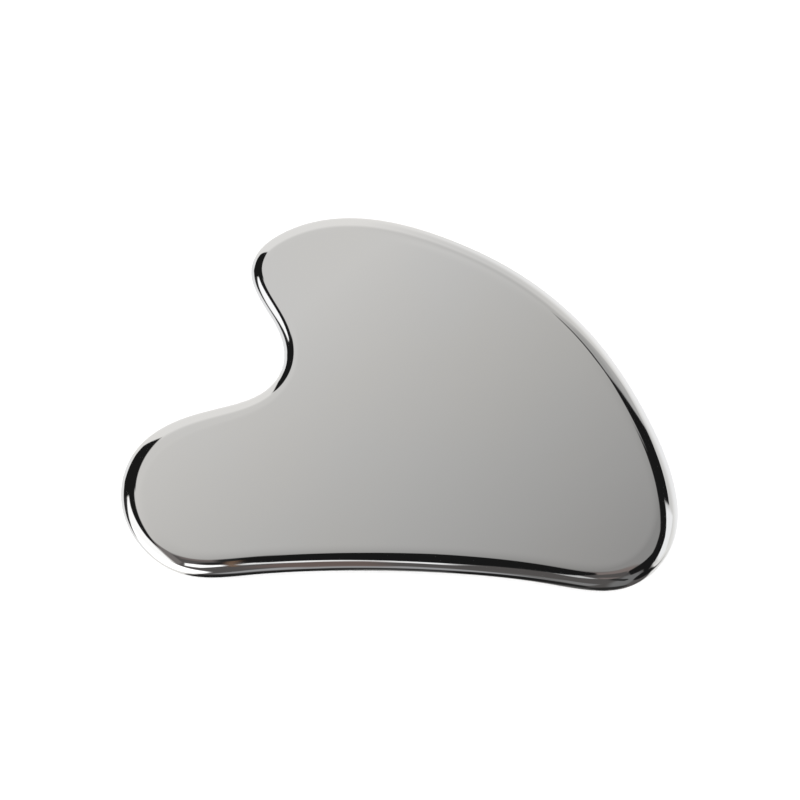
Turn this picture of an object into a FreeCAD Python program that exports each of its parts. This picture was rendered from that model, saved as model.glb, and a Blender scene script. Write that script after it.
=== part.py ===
import FreeCAD, Part
import math
import os

# Gua sha scraper: one plate of solid stainless steel with a palm-sized,
# heart-like outline, rolled to a blunt nose all the way round.
#
# Millimetres. The plate lies on its lower face, Z up. The origin is in that
# face, at the middle of the outline's bounding box. +X runs along the plate
# towards the blunt corner, +Y from the hollow scraping edge towards the arched
# back. The horn and the toe, with the jaw notch between them, are at the -X end.

THICKNESS = 4.00        # face to face
HALF_THICKNESS = THICKNESS / 2
RIM_WIDTH = 3.60        # typical run of the rim, from the outline in to the flat face
EASE_POWER = 2.80       # how gently the rim leaves the flat face (2 = ellipse)
NOSE_POWER = 2.00       # roundness of the nose across the thickness
MAX_OUTLINE_STEP = 1.80  # longest outline step between surface stations
MIN_SPAN_STEPS = 3      # fewest steps between two outline points
RIM_STATIONS = 25       # stations across the rim, face to face (odd)
STATION_SHIFT = 0.060   # how unevenly the rim stations are spaced (0 = evenly)
SECTION_STEPS = 4000    # fine steps for measuring along the rim section
OUTLINE_SAMPLES = 8000  # samples for finding the outline's bounding box
DEGREE = 3              # of every spline

# Outline at mid-thickness, anticlockwise seen from above: x, y, rim width.
# The rim is broad round the toe, the corner and the back, narrow in the notch.
OUTLINE = [
    # horn: the narrow rounded tip above the jaw notch
    (-20.46, 25.86, 3.45),   # crown
    (-23.78, 22.95, 3.35),   # shoulder
    (-24.77, 20.28, 3.25),   # tip
    # jaw notch: straight flank, then the hollow
    (-22.78, 14.80, 3.00),   # upper flank
    (-19.46, 9.42, 2.80),    # lower flank
    (-18.78, 4.69, 2.68),    # upper floor
    (-20.21, 1.70, 2.75),    # lower floor
    # toe: the broad round end
    (-27.75, -2.10, 3.25),   # neck
    (-35.81, -4.98, 3.80),   # top
    (-40.73, -9.26, 4.15),   # shoulder
    (-42.43, -16.71, 4.20),  # end
    (-39.87, -22.87, 4.15),  # turn
    (-32.08, -28.22, 4.05),  # heel
    # scraping edge: long shallow hollow
    (-21.85, -28.02, 3.85),  # start
    (-16.19, -27.40, 3.75),  # rise
    (7.30, -26.71, 3.82),    # crest
    (23.85, -27.90, 3.88),   # fall
    # blunt corner
    (35.71, -27.84, 3.95),   # low point
    (38.45, -26.22, 3.95),   # turn
    (42.33, -19.28, 3.95),   # end
    # arched back, up to the horn again
    (41.74, -12.07, 3.90),   # start
    (36.83, -0.85, 3.75),    # lower
    (29.31, 9.86, 3.68),     # middle
    (15.92, 20.80, 3.66),    # upper
    (5.88, 25.48, 3.65),     # shoulder
    (-14.67, 28.09, 3.55),   # crown
]


# ---------------------------------------------------------------- spline maths
def solve(matrix, rhs):
    """Gaussian elimination with pivoting; rhs and the result are lists of rows."""
    size = len(matrix)
    table = [list(left) + list(right) for left, right in zip(matrix, rhs)]
    for col in range(size):
        pivot = max(range(col, size), key=lambda r: abs(table[r][col]))
        table[col], table[pivot] = table[pivot], table[col]
        pivot_row = table[col]
        inverse = 1.0 / pivot_row[col]
        for row in table[col + 1:]:
            factor = row[col] * inverse
            if factor != 0.0:
                for k in range(col, len(row)):
                    if pivot_row[k] != 0.0:
                        row[k] -= factor * pivot_row[k]
    solution = [None] * size
    for i in range(size - 1, -1, -1):
        row = table[i]
        values = []
        for w in range(len(row) - size):
            total = row[size + w]
            for k in range(i + 1, size):
                if row[k] != 0.0:
                    total -= row[k] * solution[k][w]
            values.append(total / row[i])
        solution[i] = values
    return solution


def basis(knots, i, degree, t):
    """B-spline basis function i on a flat knot list (repeats written out), at t."""
    if degree == 0:
        return 1.0 if knots[i] <= t < knots[i + 1] else 0.0
    rising = falling = 0.0
    span = knots[i + degree] - knots[i]
    if span > 0.0:
        rising = (t - knots[i]) / span * basis(knots, i, degree - 1, t)
    span = knots[i + degree + 1] - knots[i + 1]
    if span > 0.0:
        falling = (knots[i + degree + 1] - t) / span * basis(knots, i + 1, degree - 1, t)
    return rising + falling


def closed_matrix(knots):
    """Interpolation matrix of a closed spline, one row per knot, wrapped."""
    count = len(knots) - 1
    period = knots[-1] - knots[0]
    flat = [knots[j % count] + period * (j // count)
            for j in range(-DEGREE, count + DEGREE + 1)]
    matrix = []
    for t in knots[:-1]:
        row = [0.0] * count
        for i in range(count + DEGREE):
            if flat[i] <= t < flat[i + DEGREE + 1]:
                row[i % count] += basis(flat, i, DEGREE, t)
        matrix.append(row)
    return matrix


def clamped_matrix(knots):
    """Interpolation matrix of an open spline: points at every knot, plus the
    slope at each end as the second and second-to-last rows."""
    size = len(knots) + 2
    flat = [knots[0]] * DEGREE + knots + [knots[-1]] * DEGREE
    first_slope = DEGREE / (knots[1] - knots[0])
    last_slope = DEGREE / (knots[-1] - knots[-2])
    padding = [0.0] * (size - 2)
    inner = [[basis(flat, i, DEGREE, t) for i in range(size)] for t in knots[1:-1]]
    return [
        [1.0, 0.0] + padding,
        [-first_slope, first_slope] + padding,
        *inner,
        padding + [-last_slope, last_slope],
        padding + [0.0, 1.0],
    ]


def closed_curve(points, knots):
    """Closed spline through the points, continuous in curvature."""
    poles = [FreeCAD.Vector(*pole) for pole in solve(closed_matrix(knots), points)]
    curve = Part.BSplineCurve()
    curve.buildFromPolesMultsKnots(poles, [1] * len(knots), knots, True, DEGREE)
    return curve


def running_length(points):
    """Distance travelled from the first point to each point in turn."""
    lengths = [0.0]
    for start, end in zip(points, points[1:]):
        lengths.append(lengths[-1] + math.dist(start, end))
    return lengths


# ------------------------------------------------------------------ rim section
def section_point(fraction):
    """Rim section from 0 (upper face) to 1 (lower face): x outward from where
    the flat face ends, z from mid-thickness, on the curve
    |x / RIM_WIDTH|^EASE_POWER + |z / HALF_THICKNESS|^NOSE_POWER = 1."""
    angle = math.pi * fraction
    cosine = math.cos(angle)
    x = RIM_WIDTH * abs(math.sin(angle)) ** (2.0 / EASE_POWER)
    z = HALF_THICKNESS * math.copysign(abs(cosine) ** (2.0 / NOSE_POWER), cosine)
    return x, z


def make_section():
    """Stations across the rim by arc length, closest together midway between
    each face and the nose."""
    fine = [section_point(i / SECTION_STEPS) for i in range(SECTION_STEPS + 1)]
    lengths = running_length(fine)
    points = [(0.0, HALF_THICKNESS)]
    j = 0
    for k in range(1, RIM_STATIONS - 1):
        share = k / (RIM_STATIONS - 1)
        share += STATION_SHIFT * math.sin(4.0 * math.pi * share) / math.pi
        target = share * lengths[-1]
        while j < SECTION_STEPS - 1 and lengths[j + 1] < target:
            j += 1
        blend = (target - lengths[j]) / (lengths[j + 1] - lengths[j])
        blend = min(1.0, max(0.0, blend))
        points.append(tuple(a + blend * (b - a) for a, b in zip(fine[j], fine[j + 1])))
    points.append((0.0, -HALF_THICKNESS))
    # The middle station sits exactly on the outline.
    points[RIM_STATIONS // 2] = (RIM_WIDTH, 0.0)
    return points


# ------------------------------------------------------------------ rim surface
def outline_stations(knots):
    """Every outline knot, with even steps between neighbours."""
    stations = []
    for start, end in zip(knots, knots[1:]):
        steps = max(MIN_SPAN_STEPS, math.ceil((end - start) / MAX_OUTLINE_STEP))
        stations += [start + (end - start) * k / steps for k in range(steps)]
    return stations + [knots[-1]]


def make_rim(outline, width_curve, knots):
    """The rolled rim as one surface, closed round the outline."""
    section = make_section()
    section_knots = running_length(section)
    stations = outline_stations(knots)

    # Round the outline: x and y of every section point, all solved at once.
    # The last two columns are the outward direction, scaled like the section.
    rows = []
    for t in stations[:-1]:
        centre = outline.value(t)
        tangent = outline.getD1(t)[1]
        tangent.normalize()
        outward = FreeCAD.Vector(tangent.y, -tangent.x, 0.0)
        stretch = width_curve.value(t).x / RIM_WIDTH
        row = []
        for x, _ in section:
            point = centre - outward * ((RIM_WIDTH - x) * stretch)
            row += [point.x, point.y]
        rows.append(row + [outward.x * stretch, outward.y * stretch])
    around = solve(closed_matrix(stations), rows)

    # Across the rim: the end slopes make it tangent to both flat faces.
    across = clamped_matrix(section_knots)
    poles = []
    for row in around:
        slope_x, slope_y = row[-2:]
        points = [[row[2 * k], row[2 * k + 1], HALF_THICKNESS + z]
                  for k, (_, z) in enumerate(section)]
        rhs = [points[0], [slope_x, slope_y, 0.0], *points[1:-1],
               [-slope_x, -slope_y, 0.0], points[-1]]
        poles.append([FreeCAD.Vector(*pole) for pole in solve(across, rhs)])

    surface = Part.BSplineSurface()
    surface.buildFromPolesMultsKnots(
        poles,
        [1] * len(stations),
        [DEGREE + 1] + [1] * (len(section) - 2) + [DEGREE + 1],
        stations,
        section_knots,
        True,    # closed round the outline
        False,   # open across the rim
        DEGREE,
        DEGREE,
    )
    return surface.toShape()


# ------------------------------------------------------------------------ plate
def box_middle(values):
    return (min(values) + max(values)) / 2.0


def make_plate():
    """Rim and two flat faces sewn to a solid, centred over the origin."""
    points = [(x, y, HALF_THICKNESS) for x, y, _ in OUTLINE]
    knots = running_length(points + points[:1])
    outline = closed_curve(points, knots)
    # A curve whose x is the rim width, on the same knots as the outline.
    width_curve = closed_curve([(width, 0.0, 0.0) for _, _, width in OUTLINE], knots)
    rim = make_rim(outline, width_curve, knots)

    level_edges = [e for e in rim.Edges if e.BoundBox.ZLength < 1e-6]
    upper_edge = [e for e in level_edges if e.BoundBox.ZMin > HALF_THICKNESS][0]
    lower_edge = [e for e in level_edges if e.BoundBox.ZMax < HALF_THICKNESS][0]
    flat_faces = [Part.Face(Part.Wire([edge])) for edge in (upper_edge, lower_edge)]

    plate = Part.Solid(Part.Shell([rim, *flat_faces]))
    # Mend the seams if the faces do not meet cleanly, and turn the solid
    # the right way out if its faces point inward.
    if not plate.isValid():
        plate.fix(1e-6, 1e-6, 1e-6)
    if plate.Volume < 0:
        plate.reverse()

    samples = [outline.value(knots[-1] * i / OUTLINE_SAMPLES) for i in range(OUTLINE_SAMPLES)]
    middle_x = box_middle([p.x for p in samples])
    middle_y = box_middle([p.y for p in samples])
    plate.translate(FreeCAD.Vector(-middle_x, -middle_y, 0.0))
    return plate


os.makedirs("parts", exist_ok=True)
make_plate().exportStep("parts/scraper_plate.step")
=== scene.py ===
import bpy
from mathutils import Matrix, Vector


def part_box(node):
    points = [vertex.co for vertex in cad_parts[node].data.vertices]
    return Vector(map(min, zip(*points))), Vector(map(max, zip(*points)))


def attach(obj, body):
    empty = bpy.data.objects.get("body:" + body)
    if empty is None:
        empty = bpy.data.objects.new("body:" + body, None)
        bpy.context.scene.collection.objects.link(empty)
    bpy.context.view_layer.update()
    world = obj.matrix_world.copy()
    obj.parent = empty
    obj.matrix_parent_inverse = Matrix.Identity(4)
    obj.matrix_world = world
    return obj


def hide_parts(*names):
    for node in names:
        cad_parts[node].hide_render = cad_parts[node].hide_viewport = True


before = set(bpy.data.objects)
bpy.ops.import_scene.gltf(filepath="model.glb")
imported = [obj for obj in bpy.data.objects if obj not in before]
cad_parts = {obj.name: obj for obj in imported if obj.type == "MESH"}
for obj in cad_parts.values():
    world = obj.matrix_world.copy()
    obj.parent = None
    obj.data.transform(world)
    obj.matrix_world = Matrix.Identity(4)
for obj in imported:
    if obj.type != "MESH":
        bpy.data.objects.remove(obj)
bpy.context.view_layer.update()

import math

import bmesh
import bpy
import numpy as np
from mathutils import Matrix, Vector
from mathutils.geometry import delaunay_2d_cdt

# A gua sha scraper: one mirror-polished plate of solid stainless steel. The
# fine mesh below is built from the same outline and the same rim section as
# the solid it stands for, with exact normals, because a mirror shows every
# facet. Lengths are in millimetres until the mesh is made.

NODE = "scraper_plate"
THICKNESS = 4.00
RIM_WIDTH = 3.60         # the width at which the section is stepped evenly
EASE_POWER = 2.80
NOSE_POWER = 2.00

OUTLINE = np.array([          # x, y, width of the rim there
    (-20.46, 25.86, 3.45), (-23.78, 22.95, 3.35), (-24.77, 20.28, 3.25),                    # horn
    (-22.78, 14.80, 3.00), (-19.46, 9.42, 2.80), (-18.78, 4.69, 2.68), (-20.21, 1.70, 2.75),  # jaw notch
    (-27.75, -2.10, 3.25), (-35.81, -4.98, 3.80), (-40.73, -9.26, 4.15), (-42.43, -16.71, 4.20),  # toe
    (-39.87, -22.87, 4.15), (-32.08, -28.22, 4.05),
    (-21.85, -28.02, 3.85), (-16.19, -27.40, 3.75), (7.30, -26.71, 3.82), (23.85, -27.90, 3.88),  # scraping edge
    (35.71, -27.84, 3.95), (38.45, -26.22, 3.95), (42.33, -19.28, 3.95),                    # blunt corner
    (41.74, -12.07, 3.90), (36.83, -0.85, 3.75), (29.31, 9.86, 3.68), (15.92, 20.80, 3.66),  # arched back
    (5.88, 25.48, 3.65), (-14.67, 28.09, 3.55),
])

AROUND = 1400            # stations round the outline
ACROSS = 48              # steps across the rim, upper face to lower face


# ------------------------------------------------------------------ outline
def closed_spline(points):
    """Closed cubic through the points, continuous in curvature, on chord-length knots in plan."""
    n = len(points)
    h = np.linalg.norm(np.roll(points[:, :2], -1, 0) - points[:, :2], axis=1)
    t = np.concatenate([[0.0], np.cumsum(h)])
    a = np.zeros((n, n))
    b = np.zeros(points.shape)
    for i in range(n):
        p, q = (i - 1) % n, (i + 1) % n
        a[i, p] += h[p]
        a[i, i] += 2.0 * (h[p] + h[i])
        a[i, q] += h[i]
        b[i] = 6.0 * ((points[q] - points[i]) / h[i] - (points[i] - points[p]) / h[p])
    m = np.linalg.solve(a, b)

    def at(s):
        s = np.mod(s, t[-1])
        k = np.clip(np.searchsorted(t, s, side="right") - 1, 0, n - 1)
        q = (k + 1) % n
        u, w, hk = t[k + 1] - s, s - t[k], h[k]
        u, w, hk = u[:, None], w[:, None], hk[:, None]
        y = (m[k] * u ** 3 + m[q] * w ** 3) / (6 * hk) \
            + (points[k] / hk - m[k] * hk / 6) * u + (points[q] / hk - m[q] * hk / 6) * w
        d = (-m[k] * u ** 2 + m[q] * w ** 2) / (2 * hk) \
            - (points[k] / hk - m[k] * hk / 6) + (points[q] / hk - m[q] * hk / 6)
        return y, d, (m[k] * u + m[q] * w) / hk

    return at, t[-1]


curve, period = closed_spline(OUTLINE)
fine_t = np.linspace(0.0, period, 40000, endpoint=False)
fine_p = curve(fine_t)[0][:, :2]
middle = (fine_p.min(0) + fine_p.max(0)) / 2.0
run = np.concatenate([[0.0], np.cumsum(np.linalg.norm(np.roll(fine_p, -1, 0) - fine_p, axis=1))])
perimeter = run[-1]


def outline(count):
    """Even stations round the outline: point, outward, forward, curvature, rim width and its slope."""
    s = np.interp(np.arange(count) * perimeter / count, run, np.append(fine_t, period))
    p, d, dd = curve(s)
    speed = np.hypot(d[:, 0], d[:, 1])
    ahead = d[:, :2] / speed[:, None]
    bend = (d[:, 0] * dd[:, 1] - d[:, 1] * dd[:, 0]) / speed ** 3
    return p[:, :2] - middle, np.stack([ahead[:, 1], -ahead[:, 0]], 1), ahead, bend, p[:, 2], d[:, 2] / speed


edge, out, ahead, bend, width, width_slope = outline(AROUND)


# -------------------------------------------------------------- rim section
def rim_section(steps):
    """Even steps of arc length: share of the rim's width outward, height from the middle, run."""
    a = np.linspace(0.0, math.pi, 20001)
    x = np.abs(np.sin(a)) ** (2.0 / EASE_POWER)
    z = np.sign(np.cos(a)) * np.abs(np.cos(a)) ** (2.0 / NOSE_POWER)
    s = np.concatenate([[0.0], np.cumsum(np.hypot(RIM_WIDTH * np.diff(x), THICKNESS / 2.0 * np.diff(z)))])
    want = np.linspace(0.0, s[-1], steps + 1)
    a = np.interp(want, s, a)
    x = np.abs(np.sin(a)) ** (2.0 / EASE_POWER)
    z = THICKNESS / 2.0 * np.sign(np.cos(a)) * np.abs(np.cos(a)) ** (2.0 / NOSE_POWER)
    x[0] = x[-1] = 0.0
    return x, z, want


share, height, s_len = rim_section(ACROSS)

verts, normals, rim_amount, polish = [], [], [], []
phi = 2.0 * math.pi * np.arange(AROUND) / AROUND
ring_r = perimeter / (2.0 * math.pi)
half = THICKNESS / 2.0
for j in range(ACROSS + 1):
    inset = width * (1.0 - share[j])
    xy = edge - out * inset[:, None]
    verts.append(np.column_stack([xy, np.full(AROUND, height[j] + half)]))
    # Exact normal, with the small turn that the rim's changing width gives it.
    g = EASE_POWER / width * share[j] ** (EASE_POWER - 1.0)
    side = g * (1.0 - share[j]) * width_slope / (1.0 - bend * inset)
    rise = NOSE_POWER / half * np.sign(height[j]) * (abs(height[j]) / half) ** (NOSE_POWER - 1.0)
    n3 = np.column_stack([out * g[:, None] + ahead * side[:, None], np.full(AROUND, rise)])
    normals.append(n3 / np.linalg.norm(n3, axis=1)[:, None])
    rim_amount.append(np.full(AROUND, share[j]))
    polish.append(np.column_stack([ring_r * np.cos(phi), ring_r * np.sin(phi), np.full(AROUND, s_len[j])]))
verts, normals = np.concatenate(verts), np.concatenate(normals)
rim_amount, polish = np.concatenate(rim_amount), np.concatenate(polish)

faces = []
for j in range(ACROSS):
    a, b = j * AROUND, (j + 1) * AROUND
    for i in range(AROUND):
        k = (i + 1) % AROUND
        faces.append((a + i, b + i, b + k, a + k))

# --------------------------------------------------------------- flat faces
# Rings that widen inwards, then an even triangular grid, so no sliver meets the rim.
loop = edge - out * width[:, None]


def inside_and_far(points, distance):
    """Keeps the points inside the flat face's border and at least distance from it."""
    ax, ay = loop[:, 0], loop[:, 1]
    bx, by = np.roll(ax, -1), np.roll(ay, -1)
    keep = []
    for chunk in np.array_split(points, max(1, len(points) // 400)):
        px, py = chunk[:, 0][:, None], chunk[:, 1][:, None]
        crosses = ((ay > py) != (by > py)) & (px < (bx - ax) * (py - ay) / (by - ay + 1e-30) + ax)
        inside = crosses.sum(1) % 2 == 1
        near = np.sqrt(((px - ax) ** 2 + (py - ay) ** 2).min(1))
        keep.append(chunk[inside & (near > distance)])
    return np.concatenate(keep)


rings = []
for offset, every in ((0.17, 1), (0.42, 2), (0.88, 4)):
    ring = (loop - out * offset)[::every]
    rings.append(inside_and_far(ring, offset * 0.93))
step = 1.25
gx = np.arange(-44.0, 44.0, step)
gy = np.arange(-30.0, 30.0, step * math.sqrt(3) / 2)
grid = np.array([(x + (step / 2 if r % 2 else 0.0), y) for r, y in enumerate(gy) for x in gx])
rings.append(inside_and_far(grid, 1.55))
inner = np.concatenate(rings)

flat_in = [Vector(p) for p in np.concatenate([loop, inner])]
loop_edges = [(i, (i + 1) % AROUND) for i in range(AROUND)]
flat_v, _fe, flat_f, back, _be, _bf = delaunay_2d_cdt(flat_in, loop_edges, [], 1, 1e-7)
if len(flat_v) != len(flat_in):
    raise RuntimeError("the flat face's points were merged")
source = [b[0] for b in back]

base = len(verts)
extra = len(inner)
for top in (True, False):
    z = THICKNESS if top else 0.0
    verts = np.vstack([verts, np.column_stack([inner, np.full(extra, z)])])
    normals = np.vstack([normals, np.tile([0.0, 0.0, 1.0 if top else -1.0], (extra, 1))])
    rim_amount = np.append(rim_amount, np.zeros(extra))
    polish = np.vstack([polish, np.column_stack([inner, np.zeros(extra)])])
    row = 0 if top else ACROSS * AROUND
    start = base if top else base + extra
    for tri in flat_f:
        ids = [source[v] for v in tri]
        ids = [row + v if v < AROUND else start + v - AROUND for v in ids]
        a, b, c = (verts[v] for v in ids[:3])
        up = (b[0] - a[0]) * (c[1] - a[1]) - (b[1] - a[1]) * (c[0] - a[0]) > 0
        faces.append(tuple(ids) if up == top else tuple(reversed(ids)))

# Into metres, in the solid's own box.
lo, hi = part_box(NODE)
size = (verts.max(0) - verts.min(0)) / 1000.0
gap = max(abs(size[i] - (hi[i] - lo[i])) for i in range(3))
if gap > 0.00005:
    raise RuntimeError(f"the mesh is {gap * 1000:.3f} mm off the solid's size")
verts = verts / 1000.0
verts[:, 0] += (lo[0] + hi[0]) / 2.0 - (verts[:, 0].max() + verts[:, 0].min()) / 2.0
verts[:, 1] += (lo[1] + hi[1]) / 2.0 - (verts[:, 1].max() + verts[:, 1].min()) / 2.0
verts[:, 2] += lo[2]

mesh = bpy.data.meshes.new("polished_scraper_plate")
mesh.from_pydata([tuple(v) for v in verts], [], faces)
mesh.validate()
mesh.polygons.foreach_set("use_smooth", [True] * len(mesh.polygons))
mesh.update()
att = mesh.attributes.new("rim", "FLOAT", "POINT")
att.data.foreach_set("value", rim_amount.astype(np.float32))
att = mesh.attributes.new("polish", "FLOAT_VECTOR", "POINT")
att.data.foreach_set("vector", polish.astype(np.float32).ravel())
mesh.normals_split_custom_set_from_vertices([tuple(n) for n in normals])

check = bmesh.new()
check.from_mesh(mesh)
open_edges = sum(1 for e in check.edges if len(e.link_faces) != 2)
volume = check.calc_volume(signed=True) * 1e9
check.free()
print(f"plate mesh: {len(mesh.vertices)} vertices, {len(mesh.polygons)} faces, open edges {open_edges}, volume {volume:.1f} mm3")
if open_edges or volume < 0:
    raise RuntimeError("the plate's mesh isn't a closed solid")

plate = bpy.data.objects.new("polished_scraper_plate", mesh)
bpy.context.scene.collection.objects.link(plate)
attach(plate, "root")
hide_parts(NODE)


# --------------------------------------------------------------- node tools
class Tree:
    """Short names for the few node types used below."""

    def __init__(self, tree):
        self.nodes, self.links = tree.nodes, tree.links

    def new(self, kind, **props):
        n = self.nodes.new(kind)
        for k, v in props.items():
            setattr(n, k, v)
        return n

    def put(self, socket, value):
        if isinstance(value, bpy.types.NodeSocket):
            self.links.new(value, socket)
        elif value is not None:
            socket.default_value = value

    def math(self, op, a, b=None, c=None, clamp=False):
        n = self.new("ShaderNodeMath", operation=op, use_clamp=clamp)
        for s, v in zip(n.inputs, (a, b, c)):
            self.put(s, v)
        return n.outputs[0]

    def vec(self, op, a, b=None):
        n = self.new("ShaderNodeVectorMath", operation=op)
        self.put(n.inputs[0], a)
        self.put(n.inputs[1], b)
        return n.outputs["Value"] if op in ("DOT_PRODUCT", "LENGTH") else n.outputs["Vector"]

    def scale(self, a, factor):
        n = self.new("ShaderNodeVectorMath", operation="SCALE")
        self.put(n.inputs[0], a)
        self.put(n.inputs["Scale"], factor)
        return n.outputs["Vector"]

    def combine(self, x, y, z):
        n = self.new("ShaderNodeCombineXYZ")
        for s, v in zip(n.inputs, (x, y, z)):
            self.put(s, v)
        return n.outputs[0]

    def ramp(self, value, a, b, lo=0.0, hi=1.0, smooth=True):
        n = self.new("ShaderNodeMapRange", interpolation_type="SMOOTHSTEP" if smooth else "LINEAR", clamp=True)
        for s, v in zip(n.inputs, (value, a, b, lo, hi)):
            self.put(s, v)
        return n.outputs[0]

    def mix(self, fac, a, b, blend="MIX"):
        n = self.new("ShaderNodeMix", data_type="RGBA", blend_type=blend)
        self.put(n.inputs[0], fac)
        self.put(n.inputs[6], a)
        self.put(n.inputs[7], b)
        return n.outputs[2]

    def noise(self, vector, scale, detail=2.0, rough=0.5, distort=0.0):
        n = self.new("ShaderNodeTexNoise")
        self.put(n.inputs["Vector"], vector)
        n.inputs["Scale"].default_value = scale
        n.inputs["Detail"].default_value = detail
        n.inputs["Roughness"].default_value = rough
        n.inputs["Distortion"].default_value = distort
        return n.outputs["Fac"]

    def mapping(self, vector, scale=(1, 1, 1), turn=0.0, shift=(0, 0, 0)):
        n = self.new("ShaderNodeMapping", vector_type="POINT")
        self.put(n.inputs["Vector"], vector)
        n.inputs["Location"].default_value = shift
        n.inputs["Rotation"].default_value = (0, 0, math.radians(turn))
        n.inputs["Scale"].default_value = scale
        return n.outputs[0]


STEEL = (0.77, 0.768, 0.76)

# ------------------------------------------------------- mirror steel, nodes
steel = bpy.data.materials.new("mirror_polished_steel")
steel.use_nodes = True
steel.node_tree.nodes.clear()
t = Tree(steel.node_tree)
coords = t.new("ShaderNodeTexCoord")
mm = t.vec("SCALE", coords.outputs["Object"])
mm.node.inputs["Scale"].default_value = 1000.0
rim = t.new("ShaderNodeAttribute", attribute_name="rim").outputs["Fac"]
along = t.new("ShaderNodeAttribute", attribute_name="polish").outputs["Vector"]


def turned(vector, angle):
    n = t.new("ShaderNodeVectorRotate", rotation_type="Z_AXIS")
    t.put(n.inputs["Vector"], vector)
    n.inputs["Angle"].default_value = math.radians(angle)
    return n.outputs[0]


def hairlines(vector, angle, length, width, level, spread, seed):
    """Sparse, nearly straight scratches: long thin noise cells, thresholded."""
    v = turned(vector, angle)
    v = t.vec("MULTIPLY", v)
    v.node.inputs[1].default_value = (1.0 / length, 1.0 / width, 1.0)
    v = t.vec("ADD", v)
    v.node.inputs[1].default_value = (seed, seed * 1.7, seed * 0.3)
    f = t.noise(v, 1.0, 1.0, 0.4)
    return t.ramp(f, level, level + spread)


# Fine hairlines from polishing and use, in four directions over the faces. They
# fade out where the rim starts to roll.
lines = None
for angle, length, width, level, spread, seed, strength in (
        (17.0, 9.0, 0.10, 0.70, 0.10, 3.1, 0.8),
        (-38.0, 13.0, 0.12, 0.73, 0.08, 7.7, 0.9),
        (71.0, 6.0, 0.09, 0.71, 0.10, 12.9, 0.7),
        (128.0, 17.0, 0.14, 0.75, 0.07, 21.3, 1.0)):
    f = t.math("MULTIPLY", hairlines(mm, angle, length, width, level, spread, seed), strength)
    lines = f if lines is None else t.math("MAXIMUM", lines, f)
lines = t.math("MULTIPLY", lines, t.ramp(rim, 0.02, 0.22, 1.0, 0.0))

# The rim is buffed along its own run: long thin streaks that follow the outline.
streak_v = t.vec("MULTIPLY", along)
streak_v.node.inputs[1].default_value = (0.16, 0.16, 8.5)
streaks = t.noise(streak_v, 1.0, 3.0, 0.55)
streak_amount = t.ramp(rim, 0.15, 0.75)

# Contact wear: the rim's nose has a little more haze, in patches.
patch = t.noise(mm, 0.16, 3.0, 0.55, 0.6)
wear = t.math("MULTIPLY", t.ramp(rim, 0.80, 1.0), t.ramp(patch, 0.42, 0.68))

# Haze: slow change in how crisp the mirror is.
haze = t.noise(mm, 0.055, 4.0, 0.6, 0.4)
swirl = t.noise(mm, 0.9, 5.0, 0.7, 1.2)
rough = t.ramp(haze, 0.30, 0.72, 0.028, 0.044)
rough = t.math("ADD", rough, t.math("MULTIPLY", lines, 0.050))
rough = t.math("ADD", rough, t.math("MULTIPLY", t.math("MULTIPLY", t.ramp(streaks, 0.45, 0.75), streak_amount), 0.022))
rough = t.math("ADD", rough, t.math("MULTIPLY", wear, 0.030))
rough = t.math("ADD", rough, t.math("MULTIPLY", t.ramp(swirl, 0.55, 0.80), 0.006))

# Colour: steel, a shade warmer and cooler by turns, a little duller in the wear.
tone = t.noise(mm, 0.035, 2.0, 0.5, 0.2)
colour = t.mix(t.ramp(tone, 0.35, 0.65), (0.772, 0.768, 0.757, 1.0), (0.766, 0.768, 0.766, 1.0))
colour = t.mix(t.math("MULTIPLY", lines, 0.10), colour, (0.86, 0.86, 0.855, 1.0))
colour = t.mix(t.math("MULTIPLY", wear, 0.25), colour, (0.72, 0.715, 0.70, 1.0))

# Height: the faint waviness that any hand-polished plate has, then the hairlines.
wave_h = t.noise(mm, 0.11, 2.0, 0.45)
bump_wave = t.new("ShaderNodeBump")
bump_wave.inputs["Strength"].default_value = 1.0
bump_wave.inputs["Distance"].default_value = 0.000012
t.put(bump_wave.inputs["Height"], wave_h)
bump_lines = t.new("ShaderNodeBump", invert=True)
bump_lines.inputs["Strength"].default_value = 1.0
bump_lines.inputs["Distance"].default_value = 0.00000035
t.put(bump_lines.inputs["Height"], lines)
t.put(bump_lines.inputs["Normal"], bump_wave.outputs[0])
bump_streak = t.new("ShaderNodeBump")
bump_streak.inputs["Strength"].default_value = 1.0
bump_streak.inputs["Distance"].default_value = 0.0000006
t.put(bump_streak.inputs["Height"], t.math("MULTIPLY", streaks, streak_amount))
t.put(bump_streak.inputs["Normal"], bump_lines.outputs[0])

shader = t.new("ShaderNodeBsdfPrincipled")
shader.inputs["Metallic"].default_value = 1.0
t.put(shader.inputs["Base Color"], colour)
t.put(shader.inputs["Roughness"], rough)
t.put(shader.inputs["Normal"], bump_streak.outputs[0])
final = t.new("ShaderNodeOutputMaterial")
t.put(final.inputs["Surface"], shader.outputs[0])
mesh.materials.append(steel)

# The hidden solid keeps the same finish.
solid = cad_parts[NODE]
solid.data.materials.clear()
solid.data.materials.append(steel)

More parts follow.
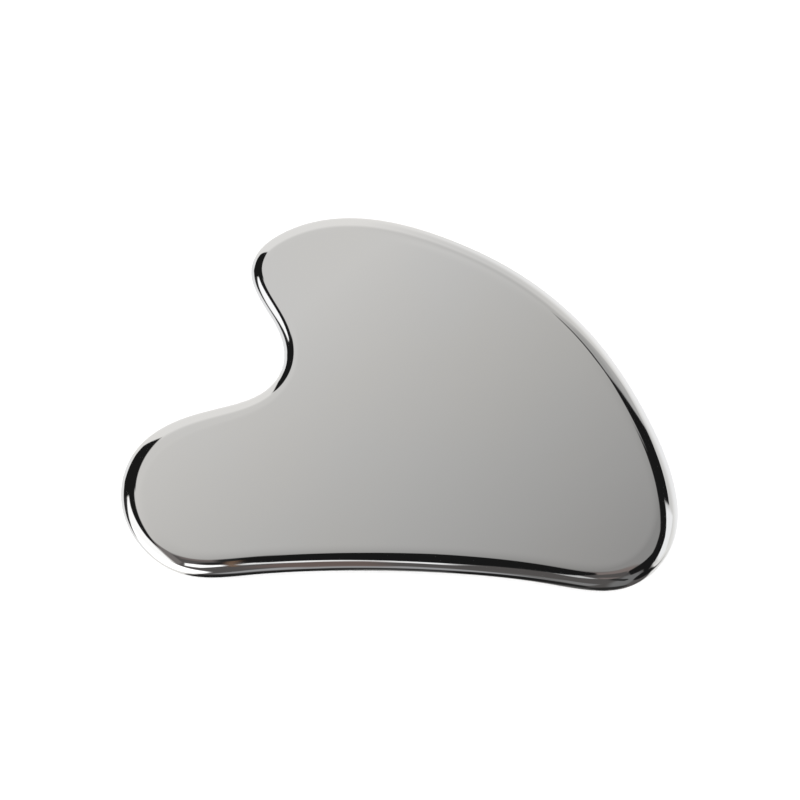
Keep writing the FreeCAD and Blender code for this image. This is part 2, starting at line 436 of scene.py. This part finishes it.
# ------------------------------------------------- studio round the plate
# A mirror shows its surroundings, so the light is a studio of soft cards. Each
# card lies on the flat chart of a dome and is the overlap of the half-planes along
# its edges, taken anticlockwise. A place on the chart is its compass direction
# (+X right, +Y up) times its angle from straight up, in degrees. The domes are a far one (D) and three of finite size, which stand for
# cards that hang near the plate: to the left (L), to the right (R) and close
# above the scraping edge (F). Later cards lie over earlier ones. Each has a soft
# border in degrees and a light level, which is what clean steel shows when it
# mirrors the card. Straight above, where the flat face looks, the light falls off
# evenly from back left to front right.
BACKDROP = (1.322, 1.308, 1.288)
DOMES = {                     # radius and middle, mm
    "D": None,
    "L": (435, (-224, 41, 330)),
    "F": (80, (5, -18, 48)),
    "R": (317, (98, -14, 282)),
}
FACE = {"dk": 0.14, "fr0": 0.558, "fr1": 0.142, "fr2": 0.035, "n0": 0.284, "nhi": 0.551, "nlo": 0.233, "nu": -0.13, "nv": 0.14}
CARDS = [                     # name, dome, corners, soft border, level, cover, hidden by the roof
    ("fringe_right", "D", [(25, 95), (95, 15), (170, -30), (180, 80), (60, 170)], 50, 0.82, 1, 0),
    ("light_right", "R", [(33, 37), (55, 2), (75, -53), (99, -110), (137, -69), (118, 36), (83, 34)], 10, 0.81, 1, 0),
    ("light_left", "D", [(-187, -60), (-97, -58), (-73, 2), (-74, 38), (-144, 123)], 10, 0.74, 1, 0),
    ("room", "F", [(-68, -18), (-102, -112), (-98, -135), (-44, -143), (5, -156), (33, -152), (72, -128), (125, -113), (143, -65), (24, -10)], 8, (0.082, 0.077, 0.075), 1, 0),
    ("room_left", "F", [(-80, -60), (-64, -72), (-64, -41), (-49, -23), (-58, -19), (-77, -12)], 5, (0.165, 0.153, 0.149), 1, 0),
    ("room_pink", "F", [(-57, -17), (-58, -24), (-39, -22), (-37, -14)], 5, (0.15, 0.125, 0.12), 0.9, 0),
    ("grey_low", "F", [(-71, -98), (-52, -130), (6, -132), (6, -119), (-10, -115), (-59, -101)], 7.5, (0.304, 0.304, 0.31), 1, 0),
    ("grey_mid", "F", [(3, -93), (-1, -114), (28, -118), (28, -94)], 7.5, 0.19, 1, 0),
    ("strip_pink", "F", [(9, -14), (17, -50), (28, -51), (40, -46), (41, -17), (27, -8)], 7, (0.193, 0.162, 0.152), 0.9, 0),
    ("strip_dark", "F", [(7, -27), (13, -40), (40, -48), (47, -41), (34, -24), (18, -22)], 5, 0.055, 0.8, 0),
    ("room_right", "F", [(39, -84), (46, -100), (59, -111), (74, -110), (91, -97), (84, -60), (70, -49), (44, -50)], 14, 0.15, 1, 0),
    ("line_right", "R", [(-14, -67), (12, -107), (22, -106), (21, -94), (-7, -62)], 4, 0.022, 1, 0),
    ("white_1", "L", [(-113, -16), (-110, -69), (-60, -100), (-25, -88), (-32, -48), (-56, 14), (-79, 2)], 4, 0.97, 1, 0),
    ("white_2", "L", [(-112, -65), (-101, -92), (-75, -132), (-51, -146), (-2, -158), (64, -145), (86, -122), (-55, -81)], 6, 1.32, 1, 0),
    ("line_left", "D", [(-86, 20), (-96, -12), (-98, -38), (-91, -31), (-61, 5), (-58, 20)], 4, 0.025, 1, 0),
    ("dark_a1", "D", [(-18, -87), (-30, -125), (-4, -141), (-22, -88)], 5.5, 0.03, 0.9, 0),
    ("dark_a2", "D", [(-11, -104), (-83, -119), (-76, -137), (8, -170)], 5, 0.018, 0.9, 0),
    ("line_spot", "F", [(-49, -34), (-46, -37), (-33, -38), (-32, -28), (-42, -29)], 3, 0.012, 1, 0),
    ("dark_left", "F", [(-39, -14), (-38, -31), (-30, -31), (-30, -12)], 4, 0.02, 1, 0),
    ("spot", "F", [(-68, -55.5), (-52, -59.5), (-35.5, -53), (-37, -44), (-52.5, -40), (-61, -41.5)], 3, 1.14, 1, 0),
    ("glow_a", "F", [(-33, -50), (-31.5, -59), (-27, -69.5), (-10, -78), (-8, -65.5), (-31, -48.5)], 4, 0.85, 1, 0),
    ("brown_low", "F", [(-32, -72), (-41, -117), (-22, -119), (-17, -66)], 6, (0.139, 0.103, 0.093), 0.85, 0),
    ("glow_small", "F", [(-1, -51.5), (5, -53), (16, -49), (5.5, -38), (2.5, -34.5)], 3, 0.49, 1, 0),
    ("edge_left", "F", [(-66, -128), (-72, -109), (-126, -66), (-150, -62), (-140, -104), (-104, -140)], 5, 0.014, 1, 0),
    ("edge_1", "F", [(-65, -126), (-43, -140), (-4, -151), (-5, -134), (-43, -133)], 4, 0.027, 0.95, 0),
    ("edge_2", "F", [(-6, -136), (-9, -151), (4, -163), (41, -157), (32, -117), (12, -120)], 4, 0.01, 0.95, 0),
    ("edge_3", "F", [(29, -138), (78, -126), (108, -113), (105, -91), (91, -91), (53, -116), (32, -127)], 4, 0.019, 0.95, 0),
    ("black_front", "F", [(-37, -17), (-31.5, -44), (-30.5, -54), (-8.5, -66.5), (-2, -53.5), (13, -25.5), (12, -14.5), (-10, -8)], 1.5, 0.009, 1, 0),
    ("brown_line", "F", [(-35.5, -26), (-35.5, -60), (-34, -66), (-33, -60), (-33, -26)], 2.5, (0.17, 0.108, 0.072), 0.9, 0),
    ("black_left", "L", [(-129, -2), (-60, 9), (-24, 14), (-22, 15), (-24, 44), (-26, 63), (-70, 105), (-91, 96), (-136, 38)], 4, 0.01, 1, 0),
    ("black_low", "L", [(-69, 16), (-62, -3.5), (-41.5, -30), (-27.5, -36), (-27.5, -34), (-25, 18.5)], 5, 0.01, 1, 0),
    ("haze_right", "R", [(-2, 58), (20, 45), (69, 78), (59, 103), (19, 92)], 10, 0.21, 0.5, 0),
    ("spur", "R", [(-4, 60), (0.5, 51.5), (12, 48), (12, 52), (3, 60), (-2.5, 64.5)], 2.5, 0.025, 1, 0),
    ("black_r1", "R", [(9, 29.5), (26, 31.5), (74.5, 36.5), (59.5, 79), (4.5, 52.5)], 3, 0.009, 1, 0),
    ("black_r2", "R", [(0, 39), (6, -33), (20, -64), (85, -66), (81, -31), (72, -6), (60, 10), (43, 27), (29, 37)], 1, 0.009, 1, 1),
    ("black_r3", "R", [(42, -52), (64, -100), (81, -105), (81, -74), (84, -51)], 5, 0.009, 1, 0),
    ("black_r4", "R", [(54, -90), (41, -111), (6, -177), (58, -166), (90, -132), (95, -111), (87, -103)], 6, 0.009, 1, 0),
]
ROOF = ("R", [(0, -30), (31, -13), (32, -12), (28, -1), (20, 13), (-4, 31), (-40, 40), (-60, 0), (-30, -31)], 3)

world = bpy.data.worlds.new("studio")
bpy.context.scene.world = world
world.use_nodes = True
world.node_tree.nodes.clear()
w = Tree(world.node_tree)
seen = w.mix(w.new("ShaderNodeLightPath").outputs["Is Camera Ray"], (1.25, 1.25, 1.25, 1.0), (1.0, 1.0, 1.0, 1.0))
back_node = w.new("ShaderNodeBackground")
w.put(back_node.inputs["Color"], seen)
w.put(w.new("ShaderNodeOutputWorld").inputs["Surface"], back_node.outputs[0])
world.cycles.sampling_method = "NONE"

studio = bpy.data.materials.new("studio_cards")
studio.use_nodes = True
studio.node_tree.nodes.clear()
w = Tree(studio.node_tree)
where_hit = w.new("ShaderNodeNewGeometry")
position = where_hit.outputs["Position"]
ray = w.scale(where_hit.outputs["Incoming"], -1.0)


def chart(direction):
    """Flat chart of a dome: degrees from straight up, in the compass direction."""
    n = w.new("ShaderNodeSeparateXYZ")
    w.put(n.inputs[0], direction)
    x, y, z = n.outputs
    level_part = w.math("SQRT", w.math("ADD", w.math("MULTIPLY", x, x), w.math("MULTIPLY", y, y)))
    angle = w.math("ARCTAN2", level_part, z)
    spread = w.math("MULTIPLY", w.math("DIVIDE", angle, w.math("MAXIMUM", level_part, 1e-7)), 180.0 / math.pi)
    u, v = w.math("MULTIPLY", x, spread), w.math("MULTIPLY", y, spread)
    return w.combine(u, v, 1.0), u, w.math("MULTIPLY", angle, 180.0 / math.pi)


def near_dome(radius, centre):
    """The direction, from the dome's middle, of the place where the mirrored ray leaves the dome."""
    radius, centre = radius / 1000.0, tuple(c / 1000.0 for c in centre)
    p = w.vec("SUBTRACT", position, centre)
    q = w.vec("SUBTRACT", p, w.scale(ray, w.vec("DOT_PRODUCT", p, ray)))
    reach = w.math("SQRT", w.math("MAXIMUM", w.math("SUBTRACT", radius * radius, w.vec("DOT_PRODUCT", q, q)), 0.0))
    return w.scale(w.vec("ADD", q, w.scale(ray, reach)), 1.0 / radius)


far_place, cu, radius = chart(ray)
PLACES = {k: far_place if v is None else chart(near_dome(*v))[0] for k, v in DOMES.items()}


def half_plane(place, a, b, c):
    n = w.new("ShaderNodeVectorMath", operation="DOT_PRODUCT")
    w.put(n.inputs[0], place)
    n.inputs[1].default_value = (a, b, c)
    return n.outputs["Value"]


def card_mask(dome_name, points, border, amount=1.0):
    d = None
    for (x0, y0), (x1, y1) in zip(points, points[1:] + points[:1]):
        ex, ey = x1 - x0, y1 - y0
        ln = math.hypot(ex, ey)
        nx, ny = -ey / ln, ex / ln
        e = half_plane(PLACES[dome_name], nx, ny, -(x0 * nx + y0 * ny))
        d = e if d is None else w.math("MINIMUM", d, e)
    return w.ramp(d, -border / 2.0, border / 2.0, 0.0, amount)


def grey(level):
    v = level if isinstance(level, (tuple, list)) else (level,) * 3
    return tuple(v[i] / STEEL[i] for i in range(3)) + (1.0,)


F = FACE
near_level = half_plane(PLACES["F"], F["nu"] / 40.0, F["nv"] / 40.0, F["n0"])
near_level = w.math("MINIMUM", w.math("MAXIMUM", near_level, F["nlo"]), F["nhi"])
far_level = w.math("ADD", w.ramp(radius, 37.0, 53.0, 0.0, F["fr1"]), w.ramp(radius, 95.0, 140.0, 0.0, F["fr2"]))
far_level = w.math("ADD", far_level, F["fr0"])
shade = w.math("MULTIPLY", w.ramp(cu, -12.0, 14.0, 0.0, F["dk"]), w.ramp(radius, 58.0, 98.0, 1.0, 0.0))
far_level = w.math("SUBTRACT", far_level, shade)
pick = w.ramp(radius, 22.0, 38.0)
level = w.math("ADD", w.math("MULTIPLY", near_level, w.math("SUBTRACT", 1.0, pick)), w.math("MULTIPLY", far_level, pick))
dome = w.mix(1.0, w.combine(level, level, level), BACKDROP + (1.0,), "MULTIPLY")

not_roof = w.math("SUBTRACT", 1.0, card_mask(*ROOF))
for name, dome_name, points, border, lev, amount, under in CARDS:
    m = card_mask(dome_name, list(points), max(border, 0.5), amount)
    if under:
        m = w.math("MULTIPLY", m, not_roof)
    dome = w.mix(m, dome, grey(lev))

glow = w.new("ShaderNodeEmission")
w.put(glow.inputs["Color"], dome)
w.put(w.new("ShaderNodeOutputMaterial").inputs["Surface"], glow.outputs[0])
studio.cycles.emission_sampling = "NONE"

# The studio's wall: a sphere that only mirrored rays can see.
ball = bmesh.new()
bmesh.ops.create_icosphere(ball, subdivisions=4, radius=1.5)
wall_mesh = bpy.data.meshes.new("studio_wall")
ball.to_mesh(wall_mesh)
ball.free()
wall_mesh.materials.append(studio)
wall = bpy.data.objects.new("studio_wall", wall_mesh)
bpy.context.scene.collection.objects.link(wall)
wall.visible_camera = False
wall.visible_diffuse = False
wall.visible_transmission = False
wall.visible_volume_scatter = False
wall.visible_shadow = False

# Two soft boxes light the floor. The plate mirrors the dome instead.
for name, where, size_m, power in (("soft_box_left", (-0.55, 0.45, 0.9), 0.8, 6.0), ("soft_box_right", (0.5, -0.6, 0.8), 0.8, 6.0)):
    lamp = bpy.data.lights.new(name, "AREA")
    lamp.shape = "SQUARE"
    lamp.size = size_m
    lamp.energy = power
    box = bpy.data.objects.new(name, lamp)
    bpy.context.scene.collection.objects.link(box)
    box.location = where
    box.rotation_mode = "QUATERNION"
    box.rotation_quaternion = (Vector((0, 0, 0)) - Vector(where)).to_track_quat("-Z", "Y")
    box.visible_camera = False
    box.visible_glossy = False

# Plain pale floor just under the plate. It is clear from below, so that the
# underside can be looked at, and the steel doesn't mirror it.
floor_mesh = bpy.data.meshes.new("floor")
floor_mesh.from_pydata([(-4, -4, -0.00004), (4, -4, -0.00004), (4, 4, -0.00004), (-4, 4, -0.00004)], [], [(0, 1, 2, 3)])
floor = bpy.data.objects.new("floor", floor_mesh)
bpy.context.scene.collection.objects.link(floor)
floor.visible_glossy = False
paper = bpy.data.materials.new("pale_floor")
paper.use_nodes = True
paper.node_tree.nodes.clear()
p = Tree(paper.node_tree)
matte = p.new("ShaderNodeBsdfDiffuse")
matte.inputs["Color"].default_value = (0.93, 0.93, 0.93, 1.0)
clear = p.new("ShaderNodeBsdfTransparent")
side = p.new("ShaderNodeNewGeometry").outputs["Backfacing"]
both = p.new("ShaderNodeMixShader")
p.put(both.inputs[0], side)
p.put(both.inputs[1], matte.outputs[0])
p.put(both.inputs[2], clear.outputs[0])
p.put(p.new("ShaderNodeOutputMaterial").inputs["Surface"], both.outputs[0])
floor_mesh.materials.append(paper)

# ------------------------------------------------------------------- camera
# A long lens, 16 degrees from straight above, leaning towards the scraping edge.
cam_data = bpy.data.cameras.new("camera")
cam = bpy.data.objects.new("camera", cam_data)
bpy.context.scene.collection.objects.link(cam)
right = Vector((0.99057941, 0.05824454, -0.12393547))
up = Vector((-0.02590276, 0.96839509, 0.24807257))
away = Vector((0.13446737, -0.24252531, 0.96078093))
cam.matrix_world = Matrix((
    (right.x, up.x, away.x, 0.06725479),
    (right.y, up.y, away.y, -0.12214719),
    (right.z, up.z, away.z, 0.48482159),
    (0, 0, 0, 1),
))
cam.location = cam.location + right * -0.000061 + up * 0.000122
cam_data.sensor_width = 36.0
cam_data.lens = 148.5
cam_data.clip_start = 0.01
cam_data.clip_end = 50.0
bpy.context.scene.camera = cam

bpy.context.scene.view_settings.view_transform = "Standard"
bpy.context.scene.view_settings.look = "None"
